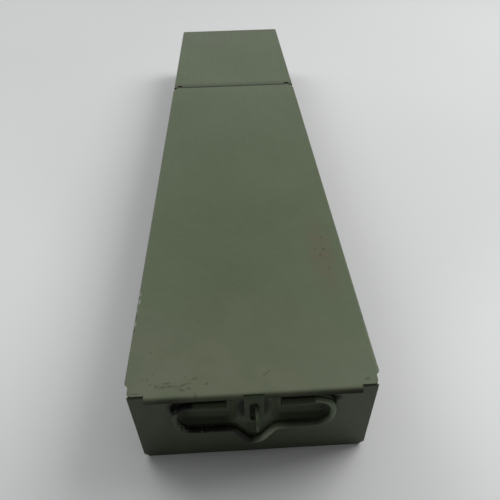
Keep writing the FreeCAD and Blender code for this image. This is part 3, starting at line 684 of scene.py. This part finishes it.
# %% Worn grip, with painted shade and a painted highlight
# Each row: start and end along the wire in mm, colour, strength.
# Rows: painted shade on the left half, on the left arm of the dip and on the right bar, then a pale painted
# highlight on the right arm of the dip.
SHADE_AND_HIGHLIGHT_MM = (
    (4, 60, "#31392a", 0.6), (50, 91, "#20231a", 0.95),
    (98, 132, "#4b5440", 0.8), (80, 105, "#a2a992", 0.8))
SHADE_AND_HIGHLIGHT_FADE_MM = 10
# Black: paint worn through to oxide, partly painted shade beneath the lip and on the bar's lower side.
BLACK_WEAR_AND_SHADE_MM = ((-8, 29.5), (34.5, 68.5))
BLACK_FADE_MM = 9
FLECK_MM = 1.6
PATCH_LOW, PATCH_HIGH = 0.35, 0.65
RAGGED_LOW, RAGGED_HIGH = 0.95, 1.2
GLINT_LOW, GLINT_HIGH = 0.68, 0.72


def stretches(tree, ends_mm, soft_mm):
    """1 along each stretch of the wire, falling to 0 over the soft length at its ends."""
    along = add(tree, "ShaderNodeAttribute", attribute_name="along").outputs["Fac"]
    found = 0.0
    for start, stop in ends_mm:
        middle = (start + stop) / 2 * MM
        half = (stop - start) / 2 * MM
        away = add(tree, "ShaderNodeMath", {0: along, 1: middle}, operation="SUBTRACT")
        distance = add(tree, "ShaderNodeMath", {0: away.outputs[0]}, operation="ABSOLUTE")
        inside = add(
            tree, "ShaderNodeMapRange",
            {"Value": distance.outputs[0], 1: half, 2: half - soft_mm * MM})
        found = add(tree, "ShaderNodeMath", {0: found, 1: inside.outputs[0]}, operation="MAXIMUM").outputs[0]
    return found


tree = handle_enamel.node_tree
# Painted shade and a painted highlight, laid along the wire.
for start, stop, tone, most in SHADE_AND_HIGHLIGHT_MM:
    stretch = stretches(tree, ((start, stop),), SHADE_AND_HIGHLIGHT_FADE_MM)
    painted_light = add(tree, "ShaderNodeMath", {0: stretch, 1: most}, operation="MULTIPLY")
    lay(handle_enamel, painted_light.outputs[0], tone, 0.45)
place = add(tree, "ShaderNodeTexCoord").outputs["Object"]
noise = add(tree, "ShaderNodeTexNoise", {"Vector": place, "Scale": per_metre(FLECK_MM), "Detail": 3.0})
flecks = noise.outputs[0]
patchy = add(tree, "ShaderNodeMapRange", {"Value": flecks, 1: PATCH_LOW, 2: PATCH_HIGH})
black = stretches(tree, BLACK_WEAR_AND_SHADE_MM, BLACK_FADE_MM)
black_patches = add(tree, "ShaderNodeMath", {0: black, 1: patchy.outputs[0]}, operation="ADD")
ragged = add(tree, "ShaderNodeMapRange", {"Value": black_patches.outputs[0], 1: RAGGED_LOW, 2: RAGGED_HIGH})
# Black wear and painted shade, with a ragged border.
lay(handle_enamel, ragged.outputs[0], "#100f0b", 0.6)
bright = add(tree, "ShaderNodeMapRange", {"Value": flecks, 1: GLINT_LOW, 2: GLINT_HIGH})
glints = add(tree, "ShaderNodeMath", {0: ragged.outputs[0], 1: bright.outputs[0]}, operation="MULTIPLY")
lay(handle_enamel, glints.outputs[0], "#7d7466", 0.4, 0.8)
print("grip black over", BLACK_WEAR_AND_SHADE_MM, "mm along the wire")

# %% [markdown]
# The fixed cover and the rear wall are spot-welded to the tray. Under paint, a spot weld shows as a faint
# ring where the electrode pressed. A bump in the material could draw it, but would vanish at the outline.
# The welds stand in even rows, so their places are worked out from the boxes of the cover and the wall.

# %% Rows of spot welds
cover_low, cover_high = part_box("rear_cover")
WALL_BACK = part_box("rear_wall")[1][1]
WELD_Z = cover_low[2] + 4.5 * MM
SIDE_ROW = [cover_low[1] + (18 + 31.5 * i) * MM for i in range(6)]
END_ROW = [(-44 + 22 * i) * MM for i in range(5)]
POST_X = 54 * MM
POST_ROW = [(14 + 13 * i) * MM for i in range(3)]
SILL_Z = 6 * MM
SILL_ROW = [(-36 + 24 * i) * MM for i in range(4)]

cover_points = [((side * cover_high[0], y, WELD_Z), (side, 0, 0)) for side in (-1, 1) for y in SIDE_ROW]
cover_points += [((x, cover_high[1], WELD_Z), (0, 1, 0)) for x in END_ROW]
wall_points = [((side * POST_X, WALL_BACK, z), (0, 1, 0)) for side in (-1, 1) for z in POST_ROW]
wall_points += [((x, WALL_BACK, SILL_Z), (0, 1, 0)) for x in SILL_ROW]
print(len(cover_points), "welds on the cover and", len(wall_points), "on the rear wall")

# %% [markdown]
# Rings in rows are a repeat. Copies could be placed by a loop, but Geometry Nodes put one on every point of
# a list and turn it to face the way that the sheet faces there, so one tree serves both pieces. The half of
# each ring that is sunk in the sheet is never seen.

# %% Spot welds
WELD_RADIUS = 2.2 * MM
WELD_RISE = 0.14 * MM
WELD_SIDES = 24
BEAD_SIDES = 8

rings = sized_tree(
    "spot_welds",
    (("Weld radius", "NodeSocketFloat"), ("Rise", "NodeSocketFloat"), ("Finish", "NodeSocketMaterial")))
given = add(rings, "NodeGroupInput").outputs
facing = add(rings, "GeometryNodeInputNamedAttribute", {"Name": "facing"}, data_type="FLOAT_VECTOR")
turn = add(rings, "FunctionNodeAlignRotationToVector", {"Vector": facing.outputs["Attribute"]}, axis="Z")
loop = add(
    rings, "GeometryNodeCurvePrimitiveCircle",
    {"Resolution": WELD_SIDES, "Radius": given["Weld radius"]})
bead = add(rings, "GeometryNodeCurvePrimitiveCircle", {"Resolution": BEAD_SIDES, "Radius": given["Rise"]})
ring = add(rings, "GeometryNodeCurveToMesh", {"Curve": loop.outputs[0], "Profile Curve": bead.outputs[0]})
rows = add(
    rings, "GeometryNodeInstanceOnPoints",
    {"Points": given["Geometry"], "Instance": ring.outputs[0], "Rotation": turn.outputs[0]})
smooth = add(rings, "GeometryNodeSetShadeSmooth", {"Geometry": rows.outputs[0]})
real = add(rings, "GeometryNodeRealizeInstances", {"Geometry": smooth.outputs[0]})
dressed = add(rings, "GeometryNodeSetMaterial", {"Geometry": real.outputs[0], "Material": given["Finish"]})
add(rings, "NodeGroupOutput", {"Geometry": dressed.outputs[0]})

WELDED = (
    ("cover_welds", cover_points, lid_enamel, "lid_paint"),
    ("wall_welds", wall_points, body_enamel, "body_paint"))
for name, points, finish, slot in WELDED:
    mesh = bpy.data.meshes.new(name + "_points")
    mesh.from_pydata([spot for spot, way_out in points], [], [])
    normals = mesh.attributes.new("facing", "FLOAT_VECTOR", "POINT")
    normals.data.foreach_set("vector", [value for spot, way_out in points for value in way_out])
    welds = grown(name, mesh, rings, {"Weld radius": WELD_RADIUS, "Rise": WELD_RISE, "Finish": finish})
    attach(welds, "body")
    print(name, "has", len(points), "rings and", len(welds.data.polygons), "faces")
